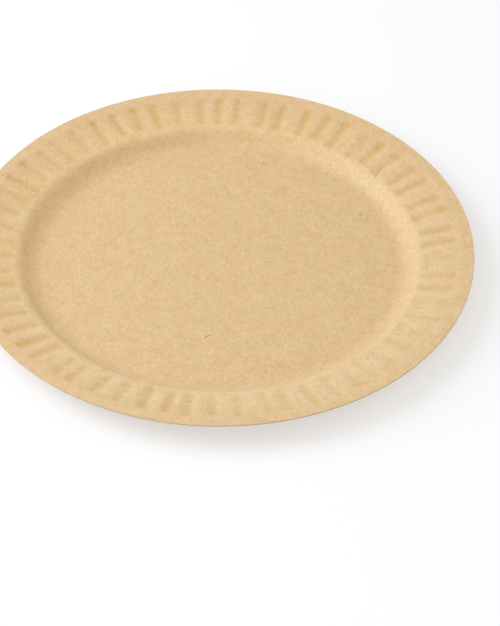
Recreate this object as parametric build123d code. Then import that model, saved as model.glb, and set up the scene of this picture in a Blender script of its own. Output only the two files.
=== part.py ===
from build123d import *
import math
import os

# A round plate pressed from one sheet of paperboard, with a shallow well and a fluted rim.
# Millimetres, +Z up. The origin is the centre of the underside, and the plate stands on z = 0.
# Diameters, widths, heights and slopes are those of the middle of the sheet, before bends are rounded.

# Sheet
plate_diameter = 230.0
board_thickness = 0.5

# Well
floor_diameter = 168.4
floor_bend_radius = 10.0
wall_width = 6.4
shoulder_height = 5.8
shoulder_bend_radius = 7.0

# Rim, which rises outwards at two slopes in degrees
rim_slope = 12.0
border_width = 4.6
border_slope = 6.0

# Flutes: round-bottomed channels pressed down into the rim, which run out at both ends,
# each over a share of the flute's length
flute_count = 62
flute_width = 6.2
flute_depth = 0.5
flute_run_out_share = 0.17
flute_margin = 0.4

# Radii and levels of the section's corners
floor_radius = floor_diameter / 2
shoulder_radius = floor_radius + wall_width
plate_radius = plate_diameter / 2
border_radius = plate_radius - border_width
half_board = board_thickness / 2
rim_rise = math.tan(math.radians(rim_slope))
shoulder_level = half_board + shoulder_height
border_level = shoulder_level + (border_radius - shoulder_radius) * rim_rise
edge_level = border_level + border_width * math.tan(math.radians(border_slope))

# The flutes fill the straight stretch of the rim, a margin short of the bend at each end
wall_slope = math.degrees(math.atan2(shoulder_height, wall_width))
shoulder_bend_reach = shoulder_bend_radius * math.tan(math.radians(wall_slope - rim_slope) / 2)
flute_start = shoulder_radius + shoulder_bend_reach * math.cos(math.radians(rim_slope)) + flute_margin
flute_end = border_radius - flute_margin
flute_run_out = flute_run_out_share * (flute_end - flute_start)
flute_half_turn = flute_width / (flute_start + flute_end)
flute_pitch = 2 * math.pi / flute_count


# A point of the rim's upper (+1) or lower (-1) skin, sunk by a depth square to the rim
def rim_point(radius, turn, side, depth=0.0):
    rise = side * half_board - depth
    slope = math.radians(rim_slope)
    from_axis = radius - rise * math.sin(slope)
    level = shoulder_level + (radius - shoulder_radius) * rim_rise + rise * math.cos(slope)
    return (from_axis * math.cos(turn), from_axis * math.sin(turn), level)


# An arc across one flute in a skin, from edge to edge
def flute_arc(radius, middle_turn, side, depth=0.0):
    return ThreePointArc(
        rim_point(radius, middle_turn - flute_half_turn, side),
        rim_point(radius, middle_turn, side, depth),
        rim_point(radius, middle_turn + flute_half_turn, side),
    )


# The channel of one flute in a skin, as three ruled strips: run-out, full depth and run-out
def flute_strips(middle_turn, side):
    arcs = [
        flute_arc(flute_start, middle_turn, side),
        flute_arc(flute_start + flute_run_out, middle_turn, side, flute_depth),
        flute_arc(flute_end - flute_run_out, middle_turn, side, flute_depth),
        flute_arc(flute_end, middle_turn, side),
    ]
    return Shell.make_loft([Wire(arc) for arc in arcs], ruled=True).faces()


# The outline that one flute leaves in the plain skin
def flute_outline(middle_turn, side):
    first = middle_turn - flute_half_turn
    last = middle_turn + flute_half_turn
    inner_end = flute_arc(flute_start, middle_turn, side)
    outer_end = flute_arc(flute_end, middle_turn, side)
    flanks = [
        Line(rim_point(flute_start, turn, side), rim_point(flute_end, turn, side))
        for turn in (first, last)
    ]
    return Wire([inner_end, flanks[1], outer_end, flanks[0]])


# The plain sheet, turned round the axis from its section
well_and_rim = FilletPolyline(
    (0, half_board),
    (floor_radius, half_board),
    (shoulder_radius, shoulder_level),
    (border_radius, border_level),
    radius=[floor_bend_radius, shoulder_bend_radius],
)
border = Line((border_radius, border_level), (plate_radius, edge_level))
plain_sheet = revolve(Plane.XZ * trace([well_and_rim, border], board_thickness), Axis.Z)

# The flutes, let into the two skins of the rim; the first lies on +Y
rim_middle = rim_point((flute_start + flute_end) / 2, 0.0, 0)
faces_from_rim = plain_sheet.faces().sort_by(lambda face: face.distance_to(rim_middle))
rim_skins = faces_from_rim[:2].sort_by(Axis.Z)
sheet_faces = faces_from_rim[2:]
middle_turns = [math.pi / 2 + number * flute_pitch for number in range(flute_count)]
for side, skin in zip((-1, +1), rim_skins):
    sheet_faces.append(skin.make_holes([flute_outline(turn, side) for turn in middle_turns]))
    for turn in middle_turns:
        sheet_faces.extend(flute_strips(turn, side))

plate = Solid(Shell(sheet_faces))
plate.label = "paper_plate"

os.makedirs("parts", exist_ok=True)
export_step(plate, "parts/paper_plate.step")
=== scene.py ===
import bpy
import math
import random
import numpy as np
from mathutils import Matrix, Vector


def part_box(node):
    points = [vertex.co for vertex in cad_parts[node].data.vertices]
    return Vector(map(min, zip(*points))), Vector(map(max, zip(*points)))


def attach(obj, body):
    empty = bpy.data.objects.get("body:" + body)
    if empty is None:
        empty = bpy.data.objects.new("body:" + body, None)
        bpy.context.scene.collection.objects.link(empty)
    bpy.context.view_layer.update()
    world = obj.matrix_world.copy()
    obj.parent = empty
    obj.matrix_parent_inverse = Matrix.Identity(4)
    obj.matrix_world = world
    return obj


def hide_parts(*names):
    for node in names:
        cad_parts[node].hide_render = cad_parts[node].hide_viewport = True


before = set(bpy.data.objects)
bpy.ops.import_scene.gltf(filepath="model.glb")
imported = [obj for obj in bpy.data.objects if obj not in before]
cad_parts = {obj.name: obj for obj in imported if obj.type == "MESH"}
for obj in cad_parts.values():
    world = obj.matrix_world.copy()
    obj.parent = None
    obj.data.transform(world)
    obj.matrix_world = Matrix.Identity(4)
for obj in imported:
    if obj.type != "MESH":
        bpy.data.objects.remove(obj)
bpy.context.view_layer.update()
plateLow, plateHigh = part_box("paper_plate")
rimRadius = min(-plateLow[0], plateHigh[0])
rimTop = plateHigh[2]


# Small helpers for numbers

def smoothStep(value):
    value = np.clip(value, 0.0, 1.0)
    return value * value * (3.0 - 2.0 * value)


def softBump(distance):
    # full at the middle, and nothing from a distance of 1
    return np.cos(np.clip(distance, 0.0, 1.0) * math.pi / 2) ** 2


def evenTurns(count):
    return np.arange(count) * 2 * math.pi / count


# Small helpers for node trees

def addNode(tree, kind, place=(0, 0), **settings):
    node = tree.nodes.new(kind)
    node.location = place
    for name, value in settings.items():
        setattr(node, name, value)
    return node


def fillSocket(tree, socket, value):
    if isinstance(value, bpy.types.NodeSocket):
        tree.links.new(value, socket)
    elif value is not None:
        socket.default_value = value


def addMath(tree, operation, first, second=None, place=(0, 0), clamp=False):
    node = addNode(tree, "ShaderNodeMath", place, operation=operation, use_clamp=clamp)
    fillSocket(tree, node.inputs[0], first)
    fillSocket(tree, node.inputs[1], second)
    return node.outputs[0]


def addVectorMath(tree, operation, first, second=None, place=(0, 0)):
    node = addNode(tree, "ShaderNodeVectorMath", place, operation=operation)
    fillSocket(tree, node.inputs[0], first)
    fillSocket(tree, node.inputs[1], second)
    return node


def addMix(tree, factor, first, second, place=(0, 0), blend="MIX"):
    # inputs 6 and 7 and output 2 are the colour sockets of a Mix node
    node = addNode(tree, "ShaderNodeMix", place, data_type="RGBA", blend_type=blend)
    fillSocket(tree, node.inputs[0], factor)
    fillSocket(tree, node.inputs[6], first)
    fillSocket(tree, node.inputs[7], second)
    return node.outputs[2]


def addRange(tree, value, low, high, place=(0, 0), toLow=0.0, toHigh=1.0):
    node = addNode(tree, "ShaderNodeMapRange", place, interpolation_type="SMOOTHSTEP")
    fillSocket(tree, node.inputs["Value"], value)
    fillSocket(tree, node.inputs["From Min"], low)
    fillSocket(tree, node.inputs["From Max"], high)
    node.inputs["To Min"].default_value = toLow
    node.inputs["To Max"].default_value = toHigh
    return node.outputs[0]


def addNoise(tree, vector, scale, place, detail=2.0, roughness=0.5, distortion=0.0):
    node = addNode(tree, "ShaderNodeTexNoise", place)
    node.inputs["Detail"].default_value = detail
    node.inputs["Roughness"].default_value = roughness
    node.inputs["Distortion"].default_value = distortion
    fillSocket(tree, node.inputs["Vector"], vector)
    fillSocket(tree, node.inputs["Scale"], scale)
    return node.outputs["Fac"]


def addPosition(tree, place):
    return addNode(tree, "ShaderNodeTexCoord", place).outputs["Object"]


def addStretch(tree, vector, turn, stretch, shift, place):
    # draws a texture out along a line turned about Z
    node = addNode(tree, "ShaderNodeMapping", place, vector_type="TEXTURE")
    node.inputs["Location"].default_value = shift
    node.inputs["Rotation"].default_value = (0.0, 0.0, turn)
    node.inputs["Scale"].default_value = (stretch, 1.0, 1.0)
    tree.links.new(vector, node.inputs["Vector"])
    return node.outputs["Vector"]


def addAttribute(tree, name, place):
    return addNode(tree, "ShaderNodeAttribute", place, attribute_name=name).outputs["Fac"]


def addGroup(tree, group, values, place):
    node = addNode(tree, "ShaderNodeGroup", place, node_tree=group)
    for name, value in values.items():
        node.inputs[name].default_value = value
    return node


def addBump(tree, shader, height, finish, place):
    node = addNode(tree, "ShaderNodeBump", place)
    node.inputs["Strength"].default_value = finish["bump"]
    node.inputs["Distance"].default_value = finish["bumpDepth"]
    tree.links.new(height, node.inputs["Height"])
    tree.links.new(node.outputs["Normal"], shader.inputs["Normal"])


def groupSockets(tree, direction, sockets):
    for name, kind, value in sockets:
        socket = tree.interface.new_socket(name=name, in_out=direction, socket_type=kind)
        if value is not None:
            socket.default_value = value


def newMaterial(name):
    material = bpy.data.materials.new(name)
    material.use_nodes = True
    tree = material.node_tree
    return material, tree, tree.nodes["Principled BSDF"]


# The pressed plate: one sheet with a flat floor, a soft wall and a fluted rim

# lengths are in metres
plateShape = {
    "board": 0.0005,
    "floorRadius": 0.0842,  # corners of the section, before the bends are rounded
    "floorBend": 0.010,
    "shoulderRadius": 0.0906,
    "shoulderHeight": 0.0058,
    "shoulderBend": 0.007,
    "rimSlope": math.radians(12.0),
    "borderWidth": 0.0046,
    "borderSlope": math.radians(6.0),
    "borderBend": 0.008,
    "edgeRounding": 0.00010,
    "edgeWave": 0.00022,  # the card is never quite level along its edge
    "edgeWaves": ((2, 0.6), (5, 2.1)),  # waves in one turn, and where each starts
    "sharpAngle": math.radians(50.0),
    "columns": 744,  # faces round the plate
    "sectionStart": 0.0785,  # the flat floor's rings fill what lies inside
    "runSteps": (1, 2, 26, 4),  # rows along each straight run and round each bend
    "bendSteps": (10, 8, 3),
    "floorRings": ((0.070, 372), (0.050, 186), (0.025, 93)),  # radius and points
}


def sheetSection():
    # middle line of the card as (radius, height, slope), from the outer part of the floor to the edge
    shape = plateShape
    borderRadius = rimRadius - shape["borderWidth"]
    rimRise = (borderRadius - shape["shoulderRadius"]) * math.tan(shape["rimSlope"])
    borderHeight = shape["shoulderHeight"] + rimRise
    edgeHeight = borderHeight + shape["borderWidth"] * math.tan(shape["borderSlope"])
    corners = [
        (shape["sectionStart"], 0.0),
        (shape["floorRadius"], 0.0),
        (shape["shoulderRadius"], shape["shoulderHeight"]),
        (borderRadius, borderHeight),
        (rimRadius, edgeHeight),
    ]
    bends = [shape["floorBend"], shape["shoulderBend"], shape["borderBend"]]
    slopes = []
    for start, end in zip(corners, corners[1:]):
        slopes.append(math.atan2(end[1] - start[1], end[0] - start[0]))
    reaches = [0.0]
    for bend, before, after in zip(bends, slopes, slopes[1:]):
        reaches.append(bend * math.tan(abs(after - before) / 2))
    reaches.append(0.0)
    line = []
    for index, slope in enumerate(slopes):
        start, end = corners[index], corners[index + 1]
        length = math.dist(start, end) - reaches[index] - reaches[index + 1]
        steps = shape["runSteps"][index]
        for step in range(steps + 1):
            along = reaches[index] + length * step / steps
            line.append((start[0] + along * math.cos(slope), start[1] + along * math.sin(slope), slope))
        if index < len(bends):
            line += bendPoints(line[-1], slopes[index + 1], bends[index], shape["bendSteps"][index])
    return np.array(line) + (0.0, shape["board"] / 2, 0.0)


def bendPoints(start, nextSlope, bend, steps):
    # points along the arc that starts where a run ends, without its two ends
    radius, height, slope = start
    side = math.copysign(bend, nextSlope - slope)
    points = []
    for step in range(1, steps):
        angle = slope + (nextSlope - slope) * step / steps
        points.append((
            radius + side * (math.sin(angle) - math.sin(slope)),
            height - side * (math.cos(angle) - math.cos(slope)),
            angle,
        ))
    return points


fluteShape = {
    "count": 62,
    "seed": 11,
    "depth": 0.00040,
    "halfWidth": 0.0040,
    "inner": 0.0916,  # radii where a flute starts and ends
    "outer": 0.1098,
    "endReach": 0.0032,  # how far a flute fades along its length
    "offCentre": (-0.0009, 0.0001),  # the press sits a little off the middle of the cut edge
    "depthSpread": 0.45,  # uneven pressing, as a share of the depth, the width and the pitch
    "widthSpread": 0.15,
    "turnSpread": 0.15,
    "leanSpread": 0.035,  # sideways over lengthways
    "endSpread": 0.0010,
}

# the browner marks that the press left in the flutes
stainShape = {
    "halfWidth": 0.0033,
    "sideways": 0.0005,  # how far a mark may lie beside the middle of its flute
    "strength": 1.1,
    "sides": 0.25,  # how much darker the marks are at back right and front left than between
    "front": 0.30,  # and how much paler at the front right
    "frontTurn": math.radians(300.0),
    "middle": (0.45, 0.95),  # least and most at the middle of a flute and at its two ends
    "innerEnd": (0.5, 1.1),
    "outerEnd": (0.6, 1.3),
    "innerReach": 0.35,  # where the ends take over, as shares of the flute's length
    "outerStart": 0.6,
    "outerReach": 0.3,
    "endPower": 1.5,  # a higher power holds a mark longer before it fades at the ends
}


def pressFlutes(radii, turns):
    # depth and stain of the flutes at each radius and turn; the first flute lies on +Y
    flute, mark = fluteShape, stainShape
    chance = random.Random(flute["seed"])
    shiftX, shiftY = flute["offCentre"]
    fromX = radii[:, None] * np.cos(turns) - shiftX
    fromY = radii[:, None] * np.sin(turns) - shiftY
    radius = np.hypot(fromX, fromY)
    turn = np.arctan2(fromY, fromX)
    depths = np.zeros_like(radius)
    stains = np.zeros_like(radius)
    pitch = 2 * math.pi / flute["count"]
    for number in range(flute["count"]):
        middle = math.pi / 2 + (number + chance.uniform(-1, 1) * flute["turnSpread"]) * pitch
        lean = chance.uniform(-flute["leanSpread"], flute["leanSpread"])
        pressure = 1 + chance.uniform(-1, 1) * flute["depthSpread"]
        halfWidth = flute["halfWidth"] * (1 + chance.uniform(-1, 1) * flute["widthSpread"])
        inner = flute["inner"] + chance.uniform(-1, 1) * flute["endSpread"]
        outer = flute["outer"] + chance.uniform(-1, 1) * flute["endSpread"]
        gap = (turn - middle + math.pi) % (2 * math.pi) - math.pi
        across = radius * gap + lean * (radius - (inner + outer) / 2)
        past = np.maximum(inner + flute["endReach"] - radius, radius - outer + flute["endReach"])
        past = np.maximum(past, 0.0) / flute["endReach"]
        depth = flute["depth"] * pressure * softBump(np.hypot(across / halfWidth, past))
        depths = np.maximum(depths, depth)

        along = np.clip((radius - inner) / (outer - inner), 0.0, 1.0)
        stain = chance.uniform(*mark["middle"])
        towardsInner = chance.uniform(*mark["innerEnd"]) - stain
        towardsOuter = chance.uniform(*mark["outerEnd"]) - stain
        stain = stain + towardsInner * smoothStep(1 - along / mark["innerReach"])
        stain = stain + towardsOuter * smoothStep((along - mark["outerStart"]) / mark["outerReach"])
        sides = mark["sides"] * math.sin(2 * middle)
        front = mark["front"] * max(0.0, math.cos(middle - mark["frontTurn"]))
        stain = stain * math.sqrt(pressure) * (mark["strength"] + sides - front)
        sideways = across + chance.uniform(-1, 1) * mark["sideways"]
        fade = softBump(np.hypot(sideways / mark["halfWidth"], past ** mark["endPower"]))
        stains = np.maximum(stains, stain * fade)
    return depths, stains


def edgeDrop(radius, turns):
    # how far the rim hangs below its level, growing from the shoulder to the waves of the edge
    shape = plateShape
    outerShare = smoothStep((radius - shape["shoulderRadius"]) / (rimRadius - shape["shoulderRadius"]))
    waves = shape["edgeWaves"]
    share = 0.5
    for count, start in waves:
        share = share - 0.5 / len(waves) * np.sin(count * turns + start)
    return shape["edgeWave"] * outerShare * share


def bothSkins(values):
    # rows of values for the upper skin, the two rows of the cut edge and the lower skin
    return np.concatenate([values, values[-1:], values[-1:], values[::-1]])


def gridFaces(rowCount, columns):
    faces = []
    for row in range(rowCount - 1):
        for column in range(columns):
            after = (column + 1) % columns
            near, far = row * columns, (row + 1) * columns
            faces.append((near + column, far + column, far + after, near + after))
    return faces


def closeFloor(outerStart, firstNew, level, upward):
    # rings inside a row of the grid, with half as many points each time, and a fan in the middle
    outerCount = plateShape["columns"]
    total = firstNew
    points, faces = [], []
    for radius, count in plateShape["floorRings"]:
        turns = evenTurns(count)
        ring = [radius * np.cos(turns), radius * np.sin(turns), np.full(count, level)]
        points.append(np.stack(ring, axis=1))
        for step in range(count):
            inside = total + step, total + (step + 1) % count
            outside = [outerStart + (2 * step + extra) % outerCount for extra in range(3)]
            faces.append((inside[0], outside[0], outside[1]))
            faces.append((inside[0], outside[1], inside[1]))
            faces.append((inside[1], outside[1], outside[2]))
        outerStart, outerCount = total, count
        total += count
    points.append(np.array([[0.0, 0.0, level]]))
    for step in range(outerCount):
        faces.append((total, outerStart + step, outerStart + (step + 1) % outerCount))
    if not upward:
        faces = [face[::-1] for face in faces]
    return np.concatenate(points), faces


def buildPlate():
    shape = plateShape
    columns = shape["columns"]
    turns = evenTurns(columns)
    section = sheetSection()
    radius, height, slope = (section[:, axis][:, None] for axis in range(3))
    sunk, stain = pressFlutes(section[:, 0], turns)
    wave = edgeDrop(radius, turns)

    def skin(side, inset=0.0, drop=0.0):
        rise = side * shape["board"] / 2 - sunk
        outward = radius - rise * np.sin(slope)
        level = height + rise * np.cos(slope) - wave
        rows = np.stack([outward * np.cos(turns), outward * np.sin(turns), level], axis=2)
        rows[-1, :, :2] *= 1 - inset / rimRadius
        rows[-1, :, 2] -= drop
        return rows

    upper = skin(1, inset=shape["edgeRounding"])
    lower = skin(-1)
    rounding = skin(1, drop=shape["edgeRounding"])[-1:]
    middleEdge = (rounding[0] + lower[-1]) / 2
    grid = np.concatenate([upper, rounding, middleEdge[None], lower[::-1]])
    rowCount = len(grid)
    points = grid.reshape(-1, 3)
    faces = gridFaces(rowCount, columns)
    for level, row, upward in ((shape["board"], 0, True), (0.0, rowCount - 1, False)):
        floorPoints, floorFaces = closeFloor(row * columns, len(points), level, upward)
        points = np.concatenate([points, floorPoints])
        faces += floorFaces

    # nothing of the plate passes the solid's box
    points[:, 2] *= min(1.0, rimTop / points[:, 2].max())
    points[:, :2] *= min(1.0, rimRadius / np.hypot(points[:, 0], points[:, 1]).max())

    mesh = bpy.data.meshes.new("pressedPlate")
    mesh.from_pydata(points.tolist(), [], faces)
    # the flat floor's rings have no marks, no pale tint and no painted light, so all their values are 0
    floorZeros = np.zeros(len(points) - rowCount * columns)
    radii = np.append(np.repeat(bothSkins(radius)[:, 0], columns), floorZeros)
    pointTurns = np.arctan2(points[:, 1], points[:, 0])
    storeValues(mesh, "stain", np.append(bothSkins(stain).ravel(), floorZeros))
    # paler card with painted light and shade, and how far that painted light turns warmer towards the back
    storeValues(mesh, "paleCardAndPaintedLight", paleCardAndLightShare(radii, pointTurns))
    storeValues(mesh, "paintedWarmLightSide", 0.5 - 0.5 * np.cos(pointTurns - paleCardAndLightShape["frontTurn"]))

    # the two rows of faces at the cut edge have the second material
    faceMaterials = np.zeros(len(faces), dtype=np.int32)
    edgeStart = len(upper) * columns
    faceMaterials[edgeStart:edgeStart + 2 * columns] = 1
    mesh.polygons.foreach_set("material_index", faceMaterials)
    mesh.shade_smooth()
    mesh.set_sharp_from_angle(angle=shape["sharpAngle"])
    mesh.update()
    plate = bpy.data.objects.new("pressedPlate", mesh)
    bpy.context.collection.objects.link(plate)
    print("stage: plate has", len(points), "points and", sum(len(face) - 2 for face in faces), "triangles")
    return plate


def storeValues(mesh, name, values):
    layer = mesh.attributes.new(name, "FLOAT", "POINT")
    layer.data.foreach_set("value", values.astype(np.float32))


# how much of the pale tint each part of the sheet gets: painted light and shade, and on the rim partly
# paler pressed card
paleCardAndLightShape = {
    "frontTurn": math.radians(282.0),
    "wall": 0.33,
    "wallSideLight": 0.28,  # painted light and shade: paler at back right and front left, less so between
    "rim": 0.82,
    # painted light: the rim paler towards the front and darker towards the back
    "rimFrontLight": 0.30,
    "rimEndsLight": 0.18,  # painted light: paler at front and back, less so between
    "borderLoss": 0.75,  # less of the pale tint again towards the edge
    "crestHighlight": 0.60,  # a painted highlight: the thin pale line along the front of the shoulder
    "crestBack": 0.65,  # and how much of it shows at the back
    "wallGrowth": (0.0820, 0.0040),  # radius where each part starts, and how far on it is full
    "shoulderGrowth": (0.0868, 0.0037),
    "borderGrowth": (0.0960, 0.0120),
    "crestRadius": 0.0912,
    "crestHalfWidth": 0.0015,
}


def paleCardAndLightShare(radii, turns):
    # the rim outside the shoulder is paler, partly pressed card and partly painted light; the front rim,
    # the wall's sides and the shoulder's crest get painted light and shade
    paleAndLit = paleCardAndLightShape

    def growth(start, reach):
        return smoothStep((radii - start) / reach)

    fromFront = turns - paleAndLit["frontTurn"]
    ahead = np.cos(fromFront)
    onWall = paleAndLit["wall"] + paleAndLit["wallSideLight"] * np.sin(2 * turns)
    onRim = paleAndLit["rim"] + paleAndLit["rimFrontLight"] * ahead + paleAndLit["rimEndsLight"] * np.cos(2 * fromFront)
    wall = growth(*paleAndLit["wallGrowth"])
    shoulder = growth(*paleAndLit["shoulderGrowth"])
    border = paleAndLit["borderLoss"] * growth(*paleAndLit["borderGrowth"])
    # painted highlight along the shoulder's crest, strongest at the front
    crestHighlight = np.exp(-((radii - paleAndLit["crestRadius"]) / paleAndLit["crestHalfWidth"]) ** 2)
    onCrestHighlight = paleAndLit["crestHighlight"] * np.maximum(ahead, -paleAndLit["crestBack"] * ahead)
    return onWall * wall * (1 - shoulder) + onRim * (shoulder - border) + onCrestHighlight * crestHighlight


# Kraft card: node groups for the pulp, the flecks and single marks, then the two materials

pulpShape = {
    "grainStretch": (1.16, 0.80, 1.0),
    "directions": 4,  # in which the fibres lie
    "firstTurn": 0.35,
    "fibreStretch": 2.8,
    "fibreShift": (0.37, 0.11, 0.05),  # from one direction's pattern to the next
    "fibreWidth": 0.045,
    "fibreRelief": 0.45,
    "grainRelief": 0.8,
}


def pulpGroup():
    # cloudy pulp, fine grain, and curled fibres lying in several directions
    shape = pulpShape
    tree = bpy.data.node_groups.new("kraftPulp", "ShaderNodeTree")
    groupSockets(tree, "INPUT", [
        ("Cloud Scale", "NodeSocketFloat", 90.0),
        ("Blotch Scale", "NodeSocketFloat", 300.0),
        ("Grain Scale", "NodeSocketFloat", 1300.0),
        ("Fibre Scale", "NodeSocketFloat", 300.0),
    ])
    groupSockets(tree, "OUTPUT", [
        ("Cloud", "NodeSocketFloat", None),
        ("Blotch", "NodeSocketFloat", None),
        ("Grain", "NodeSocketFloat", None),
        ("Pale Fibre", "NodeSocketFloat", None),
        ("Dark Fibre", "NodeSocketFloat", None),
        ("Relief", "NodeSocketFloat", None),
    ])
    given = addNode(tree, "NodeGroupInput", (-1400, 0)).outputs
    result = addNode(tree, "NodeGroupOutput", (900, 0)).inputs
    position = addPosition(tree, (-1400, 300))
    made = {
        "Cloud": addNoise(tree, position, given["Cloud Scale"], (-700, 500), detail=4.0, roughness=0.6),
        "Blotch": addNoise(tree, position, given["Blotch Scale"], (-700, 400), distortion=0.3),
    }
    alongSheet = addVectorMath(tree, "MULTIPLY", position, shape["grainStretch"], (-900, 300))
    grain = addNoise(tree, alongSheet.outputs["Vector"], given["Grain Scale"], (-700, 300), roughness=0.6)
    made["Grain"] = grain
    strands = []
    for number in range(shape["directions"]):
        level = -200 * number
        turn = math.pi * number / shape["directions"] + shape["firstTurn"]
        shift = [number * part for part in shape["fibreShift"]]
        lying = addStretch(tree, position, turn, shape["fibreStretch"], shift, (-1150, level))
        noise = addNoise(tree, lying, given["Fibre Scale"], (-900, level), detail=1.0, distortion=0.5)
        offMiddle = addMath(tree, "SUBTRACT", noise, 0.5, (-700, level))
        fromFibre = addMath(tree, "ABSOLUTE", offMiddle, place=(-500, level))
        strands.append(addRange(tree, fromFibre, 0.0, shape["fibreWidth"], (-300, level), 1.0, 0.0))
    # every other direction has the pale fibres
    made["Pale Fibre"] = addMath(tree, "MAXIMUM", strands[0], strands[2], (0, -100))
    made["Dark Fibre"] = addMath(tree, "MAXIMUM", strands[1], strands[3], (0, -300))
    fibreRelief = addMath(tree, "MULTIPLY", made["Pale Fibre"], shape["fibreRelief"], (150, -200))
    grainRelief = addMath(tree, "MULTIPLY", grain, shape["grainRelief"], (150, 0))
    made["Relief"] = addMath(tree, "ADD", fibreRelief, grainRelief, (300, -200))
    for name, value in made.items():
        tree.links.new(value, result[name])
    return tree


fleckShape = {"turn": 0.5, "stretch": 1.7, "softEdge": 1.8}


def fleckGroup():
    # small dark specks of bark, far apart
    shape = fleckShape
    tree = bpy.data.node_groups.new("barkFleck", "ShaderNodeTree")
    groupSockets(tree, "INPUT", [
        ("Fleck Scale", "NodeSocketFloat", 120.0),
        ("Fleck Size", "NodeSocketFloat", 0.05),
        ("Fleck Share", "NodeSocketFloat", 0.3),
    ])
    groupSockets(tree, "OUTPUT", [("Fleck", "NodeSocketFloat", None)])
    given = addNode(tree, "NodeGroupInput", (-900, 0)).outputs
    result = addNode(tree, "NodeGroupOutput", (600, 0)).inputs
    position = addPosition(tree, (-1100, 200))
    lying = addStretch(tree, position, shape["turn"], shape["stretch"], (0.0, 0.0, 0.0), (-900, 300))
    cells = addNode(tree, "ShaderNodeTexVoronoi", (-600, 200))
    fillSocket(tree, cells.inputs["Vector"], lying)
    fillSocket(tree, cells.inputs["Scale"], given["Fleck Scale"])
    softSize = addMath(tree, "MULTIPLY", given["Fleck Size"], shape["softEdge"], (-600, -100))
    outside = addRange(tree, cells.outputs["Distance"], given["Fleck Size"], softSize, (-350, 200))
    inside = addMath(tree, "SUBTRACT", 1.0, outside, (-100, 200))
    chosen = addNode(tree, "ShaderNodeSeparateColor", (-350, 0))
    fillSocket(tree, chosen.inputs["Color"], cells.outputs["Color"])
    rare = addMath(tree, "LESS_THAN", chosen.outputs[0], given["Fleck Share"], (-100, 0))
    tree.links.new(addMath(tree, "MULTIPLY", inside, rare, (200, 0)), result["Fleck"])
    return tree


strokeCore = 0.3  # share of a mark's half width that is full strength


def strokeGroup():
    # one straight mark between two places on the plate, seen from above
    tree = bpy.data.node_groups.new("strokeMark", "ShaderNodeTree")
    groupSockets(tree, "INPUT", [
        ("Start", "NodeSocketVector", None),
        ("End", "NodeSocketVector", None),
        ("Half Width", "NodeSocketFloat", 0.0003),
    ])
    groupSockets(tree, "OUTPUT", [("Mark", "NodeSocketFloat", None)])
    given = addNode(tree, "NodeGroupInput", (-1000, 0)).outputs
    result = addNode(tree, "NodeGroupOutput", (900, 0)).inputs
    position = addPosition(tree, (-1200, 300))
    flat = addVectorMath(tree, "MULTIPLY", position, (1.0, 1.0, 0.0), (-1000, 300)).outputs["Vector"]
    fromStart = addVectorMath(tree, "SUBTRACT", flat, given["Start"], (-700, 300)).outputs["Vector"]
    wholeWay = addVectorMath(tree, "SUBTRACT", given["End"], given["Start"], (-700, 0)).outputs["Vector"]
    ahead = addVectorMath(tree, "DOT_PRODUCT", fromStart, wholeWay, (-450, 300)).outputs["Value"]
    full = addVectorMath(tree, "DOT_PRODUCT", wholeWay, wholeWay, (-450, 100)).outputs["Value"]
    share = addMath(tree, "DIVIDE", ahead, full, (-200, 200), clamp=True)
    nearest = addVectorMath(tree, "SCALE", wholeWay, None, (0, 100))
    tree.links.new(share, nearest.inputs["Scale"])
    offset = addVectorMath(tree, "SUBTRACT", fromStart, nearest.outputs["Vector"], (200, 200))
    distance = addVectorMath(tree, "LENGTH", offset.outputs["Vector"], None, (400, 200)).outputs["Value"]
    core = addMath(tree, "MULTIPLY", given["Half Width"], strokeCore, (400, 0))
    outside = addRange(tree, distance, core, given["Half Width"], (600, 200))
    tree.links.new(addMath(tree, "SUBTRACT", 1.0, outside, (750, 200)), result["Mark"])
    return tree


kraftFinish = {
    "pulp": {"Cloud Scale": 110.0, "Blotch Scale": 260.0, "Grain Scale": 1150.0, "Fibre Scale": 330.0},
    "flecks": {"Fleck Scale": 190.0, "Fleck Size": 0.05, "Fleck Share": 0.05},
    "pale": (0.778, 0.556, 0.312, 1.0),
    "deep": (0.654, 0.437, 0.206, 1.0),
    "paleFibre": (0.785, 0.580, 0.345, 1.0),
    "darkFibre": (0.895, 0.840, 0.745, 1.0),  # this and the next four multiply the colour under them
    "warmBlotch": (0.985, 0.935, 0.840, 1.0),
    # pale tints that paint light onto the card, partly paler pressed card: cooler at the front, warmer at
    # the back
    "paleCardAndPaintedLight": (1.050, 1.108, 1.170, 1.0),
    "paleCardAndPaintedWarmLight": (1.080, 1.095, 1.030, 1.0),
    "stain": (0.910, 0.835, 0.660, 1.0),
    "fleck": (0.300, 0.150, 0.060, 1.0),
    "pulpRange": (0.25, 0.75),  # values of the noise over which each part grows
    "blotchRange": (0.4, 0.75),
    "patchRange": (0.3, 0.7),
    "roughRange": (0.3, 0.7),
    "cloudShare": 0.3,
    "grainShare": 0.7,
    "paleFibreShare": 0.35,
    "darkFibreShare": 0.45,
    "fleckShare": 0.5,
    "stainPatches": (0.75, 1.25),  # the marks of the press are patchy in the grain
    "roughness": 0.56,
    "roughSpread": 0.05,
    "specular": 0.5,
    "bump": 0.5,
    "bumpDepth": 0.00006,
}

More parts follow.
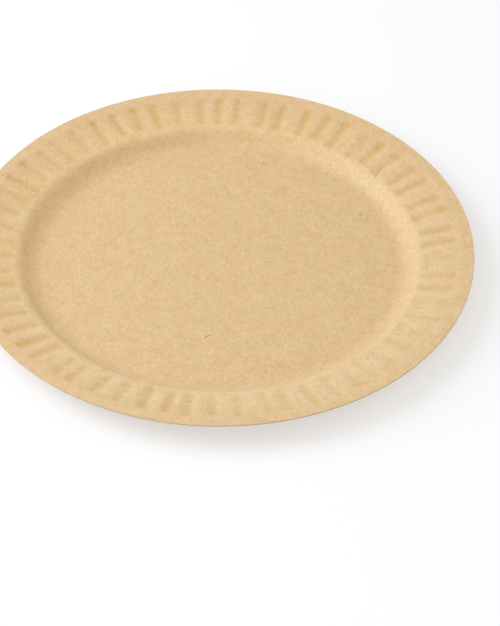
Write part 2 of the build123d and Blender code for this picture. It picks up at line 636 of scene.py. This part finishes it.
# single fibres, specks and a crease: start and end on the plate in metres, half width, strength
faceMarks = {
    "frontFibreA": ((-0.00568, -0.05047), (-0.00416, -0.04917), 0.00048, 0.75),
    "frontFibreB": ((-0.00416, -0.04917), (-0.00290, -0.04857), 0.00042, 0.70),
    "rightSpeckA": ((0.06470, 0.03475), (0.06553, 0.03318), 0.00055, 0.40),
    "rightSpeckB": ((0.06831, 0.03294), (0.06945, 0.03374), 0.00060, 0.32),
    "backSpeck": ((0.02004, 0.07083), (0.02099, 0.07032), 0.00090, 0.40),
    "creaseA": ((0.07277, 0.05472), (0.07436, 0.05770), 0.00052, 0.50),
    "creaseB": ((0.07436, 0.05770), (0.07641, 0.06048), 0.00036, 0.35),
    "creaseC": ((0.07486, 0.06176), (0.07749, 0.06625), 0.00040, 0.15),
    "creaseD": ((0.07698, 0.05949), (0.07900, 0.06364), 0.00040, 0.15),
}


def kraftFace(pulp, flecks, stroke):
    finish = kraftFinish
    material, tree, shader = newMaterial("kraftFace")
    card = addGroup(tree, pulp, finish["pulp"], (-1500, 200)).outputs
    specks = addGroup(tree, flecks, finish["flecks"], (-1500, -200)).outputs

    # pulp: clouds and grain, then the fibres and warmer blotches
    cloud = addRange(tree, card["Cloud"], *finish["pulpRange"], (-1250, 350))
    grain = addRange(tree, card["Grain"], *finish["pulpRange"], (-1250, 150))
    cloudShare = addMath(tree, "MULTIPLY", cloud, finish["cloudShare"], (-1100, 350))
    grainShare = addMath(tree, "MULTIPLY", grain, finish["grainShare"], (-1100, 150))
    share = addMath(tree, "ADD", cloudShare, grainShare, (-1000, 250))
    colour = addMix(tree, share, finish["deep"], finish["pale"], (-800, 250))
    paleShare = addMath(tree, "MULTIPLY", card["Pale Fibre"], finish["paleFibreShare"], (-1000, 50))
    colour = addMix(tree, paleShare, colour, finish["paleFibre"], (-600, 250))
    darkShare = addMath(tree, "MULTIPLY", card["Dark Fibre"], finish["darkFibreShare"], (-1000, -50))
    colour = addMix(tree, darkShare, colour, finish["darkFibre"], (-400, 250), "MULTIPLY")
    blotchShare = addRange(tree, card["Blotch"], *finish["blotchRange"], (-600, 50))
    colour = addMix(tree, blotchShare, colour, finish["warmBlotch"], (-300, 250), "MULTIPLY")

    # paler pressed card with painted light and shade, and browner marks that the press left in the flutes
    paleCardAndPaintedLight = addAttribute(tree, "paleCardAndPaintedLight", (-800, -100))
    paintedWarmLightSide = addAttribute(tree, "paintedWarmLightSide", (-800, 100))
    # the painted light is cooler at the front and warmer at the back
    paleCardAndLightTint = addMix(tree, paintedWarmLightSide, finish["paleCardAndPaintedLight"], finish["paleCardAndPaintedWarmLight"], (-500, -50))
    colour = addMix(tree, paleCardAndPaintedLight, colour, paleCardAndLightTint, (-200, 250), "MULTIPLY")
    stain = addAttribute(tree, "stain", (-800, -300))
    patches = addRange(tree, card["Grain"], *finish["patchRange"], (-600, -300), *finish["stainPatches"])
    stainShare = addMath(tree, "MULTIPLY", stain, patches, (-400, -300))
    colour = addMix(tree, stainShare, colour, finish["stain"], (0, 250), "MULTIPLY")

    marks = addMath(tree, "MULTIPLY", specks["Fleck"], finish["fleckShare"], (-1200, -200))
    for number, (start, end, halfWidth, strength) in enumerate(faceMarks.values()):
        level = -500 - 180 * number
        values = {"Start": (*start, 0.0), "End": (*end, 0.0), "Half Width": halfWidth}
        mark = addGroup(tree, stroke, values, (-1000, level)).outputs["Mark"]
        mark = addMath(tree, "MULTIPLY", mark, strength, (-800, level))
        marks = addMath(tree, "MAXIMUM", marks, mark, (-600, level))
    colour = addMix(tree, marks, colour, finish["fleck"], (200, 250))
    tree.links.new(colour, shader.inputs["Base Color"])

    shader.inputs["Specular IOR Level"].default_value = finish["specular"]
    smoothest = finish["roughness"] - finish["roughSpread"]
    roughest = finish["roughness"] + finish["roughSpread"]
    rough = addRange(tree, card["Cloud"], *finish["roughRange"], (-200, -100), smoothest, roughest)
    tree.links.new(rough, shader.inputs["Roughness"])
    relief = addMath(tree, "SUBTRACT", card["Relief"], marks, (0, -300))
    addBump(tree, shader, relief, finish, (200, -300))
    return material


cutEdgeFinish = {
    "pulp": {"Cloud Scale": 260.0, "Grain Scale": 3200.0, "Fibre Scale": 1500.0},
    "pale": (0.640, 0.440, 0.260, 1.0),
    "deep": (0.400, 0.245, 0.125, 1.0),
    "grainRange": (0.3, 0.7),
    "roughness": 0.9,
    "bump": 0.5,
    "bumpDepth": 0.00006,
}


def kraftCutEdge(pulp):
    finish = cutEdgeFinish
    material, tree, shader = newMaterial("kraftCutEdge")
    card = addGroup(tree, pulp, finish["pulp"], (-900, 200)).outputs
    share = addRange(tree, card["Grain"], *finish["grainRange"], (-650, 200))
    colour = addMix(tree, share, finish["deep"], finish["pale"], (-300, 200))
    tree.links.new(colour, shader.inputs["Base Color"])
    shader.inputs["Roughness"].default_value = finish["roughness"]
    addBump(tree, shader, card["Relief"], finish, (100, -300))
    return material


# Camera at the photograph's viewing angle

cameraView = {
    "aim": (0.01392, -0.04569, rimTop),  # where the view's middle meets the level of the rim's edge
    "distance": 1.0485,
    "elevation": math.radians(42.60),
    "heading": math.radians(0.635),
    "roll": math.radians(0.938),
    "focalPixels": 2400.0,
    "imageHeight": 626,
}


def placeCamera():
    view = cameraView
    data = bpy.data.cameras.new("photoCamera")
    data.lens = data.sensor_width * view["focalPixels"] / view["imageHeight"]
    camera = bpy.data.objects.new("photoCamera", data)
    bpy.context.collection.objects.link(camera)
    forward = Vector((
        math.cos(view["elevation"]) * math.sin(view["heading"]),
        math.cos(view["elevation"]) * math.cos(view["heading"]),
        -math.sin(view["elevation"]),
    ))
    turn = forward.to_track_quat("-Z", "Y").to_matrix() @ Matrix.Rotation(view["roll"], 3, "Z")
    position = Vector(view["aim"]) - forward * view["distance"]
    camera.matrix_world = Matrix.Translation(position) @ turn.to_4x4()
    bpy.context.scene.camera = camera


# Plain pale floor and soft studio light

studio = {
    "floorSize": 6.0,
    "floorColour": (0.98, 0.98, 0.98, 1.0),
    "floorRoughness": 0.9,
    "floorDrop": 0.0001,  # keeps the floor clear of the underside, which lies at height 0
    "floorGlow": (0.5, 1.0),  # share of plain white that the camera sees, near the plate and far off
    "glowReach": (0.18, 0.90),  # distances from the middle over which it grows
    "backdropColour": (1.0, 1.0, 1.0, 1.0),  # what the camera sees past the floor
    "backdropStrength": 1.0,
    "skyColour": (1.0, 0.970, 0.905, 1.0),  # what lights the plate
    "skyStrength": 0.592,
    # name: colour, size, distance, turn, elevation, power
    "lamps": {
        "keyLamp": ((0.960, 1.035, 1.19), 0.8, 1.0, math.radians(170.0), math.radians(36.0), 7.2),
        "fillLamp": ((0.82, 0.98, 1.20), 0.6, 0.7, math.radians(278.0), math.radians(35.0), 0.70),
        "warmBounce": ((1.15, 0.97, 0.72), 1.4, 2.2, math.radians(20.0), math.radians(25.0), 4.2),
    },
}


def buildFloor():
    bpy.ops.mesh.primitive_plane_add(size=studio["floorSize"], location=(0, 0, -studio["floorDrop"]))
    floor = bpy.context.object
    floor.name = "studioFloor"
    material, tree, shader = newMaterial("studioFloorPaint")
    shader.inputs["Base Color"].default_value = studio["floorColour"]
    shader.inputs["Roughness"].default_value = studio["floorRoughness"]
    cameraRay = addNode(tree, "ShaderNodeLightPath", (-300, 400)).outputs["Is Camera Ray"]
    position = addPosition(tree, (-900, 200))
    distance = addVectorMath(tree, "LENGTH", position, None, (-600, 200)).outputs["Value"]
    glowShare = addRange(tree, distance, *studio["glowReach"], (-300, 200), *studio["floorGlow"])
    share = addMath(tree, "MULTIPLY", cameraRay, glowShare, (0, 400))
    glow = addNode(tree, "ShaderNodeEmission", (0, -400))
    blend = addNode(tree, "ShaderNodeMixShader", (400, 200))
    tree.links.new(share, blend.inputs[0])
    tree.links.new(shader.outputs[0], blend.inputs[1])
    tree.links.new(glow.outputs[0], blend.inputs[2])
    tree.links.new(blend.outputs[0], tree.nodes["Material Output"].inputs["Surface"])
    floor.data.materials.append(material)


def buildSky():
    # the camera and the gloss see a plain white backdrop, and everything else gets the sky's light
    world = bpy.data.worlds.new("studioSky")
    bpy.context.scene.world = world
    world.use_nodes = True
    tree = world.node_tree
    background = tree.nodes["Background"]
    rays = addNode(tree, "ShaderNodeLightPath", (-900, 0)).outputs
    seen = addMath(tree, "ADD", rays["Is Camera Ray"], rays["Is Glossy Ray"], (-700, 0))
    seen = addMath(tree, "ADD", seen, rays["Is Transmission Ray"], (-500, 0), clamp=True)
    colour = addMix(tree, seen, studio["skyColour"], studio["backdropColour"], (-250, 100))
    tree.links.new(colour, background.inputs["Color"])
    strength = addNode(tree, "ShaderNodeMapRange", (-250, -100))
    tree.links.new(seen, strength.inputs["Value"])
    strength.inputs["To Min"].default_value = studio["skyStrength"]
    strength.inputs["To Max"].default_value = studio["backdropStrength"]
    tree.links.new(strength.outputs[0], background.inputs["Strength"])


def addLamp(name, colour, size, distance, turn, elevation, power):
    lamp = bpy.data.lights.new(name, "AREA")
    lamp.size = size
    lamp.energy = power
    lamp.color = colour
    body = bpy.data.objects.new(name, lamp)
    bpy.context.collection.objects.link(body)
    outward = math.cos(elevation)
    towards = Vector((outward * math.cos(turn), outward * math.sin(turn), math.sin(elevation)))
    body.location = towards * distance
    body.rotation_euler = (-towards).to_track_quat("-Z", "Y").to_euler()


print("stage: camera and studio")
placeCamera()
buildFloor()
buildSky()
for lampName, lampSettings in studio["lamps"].items():
    addLamp(lampName, *lampSettings)
bpy.context.scene.view_settings.view_transform = "Standard"

print("stage: pressed plate")
plate = buildPlate()

print("stage: kraft card")
pulp = pulpGroup()
plate.data.materials.append(kraftFace(pulp, fleckGroup(), strokeGroup()))
plate.data.materials.append(kraftCutEdge(pulp))
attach(plate, "root")
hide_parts("paper_plate")
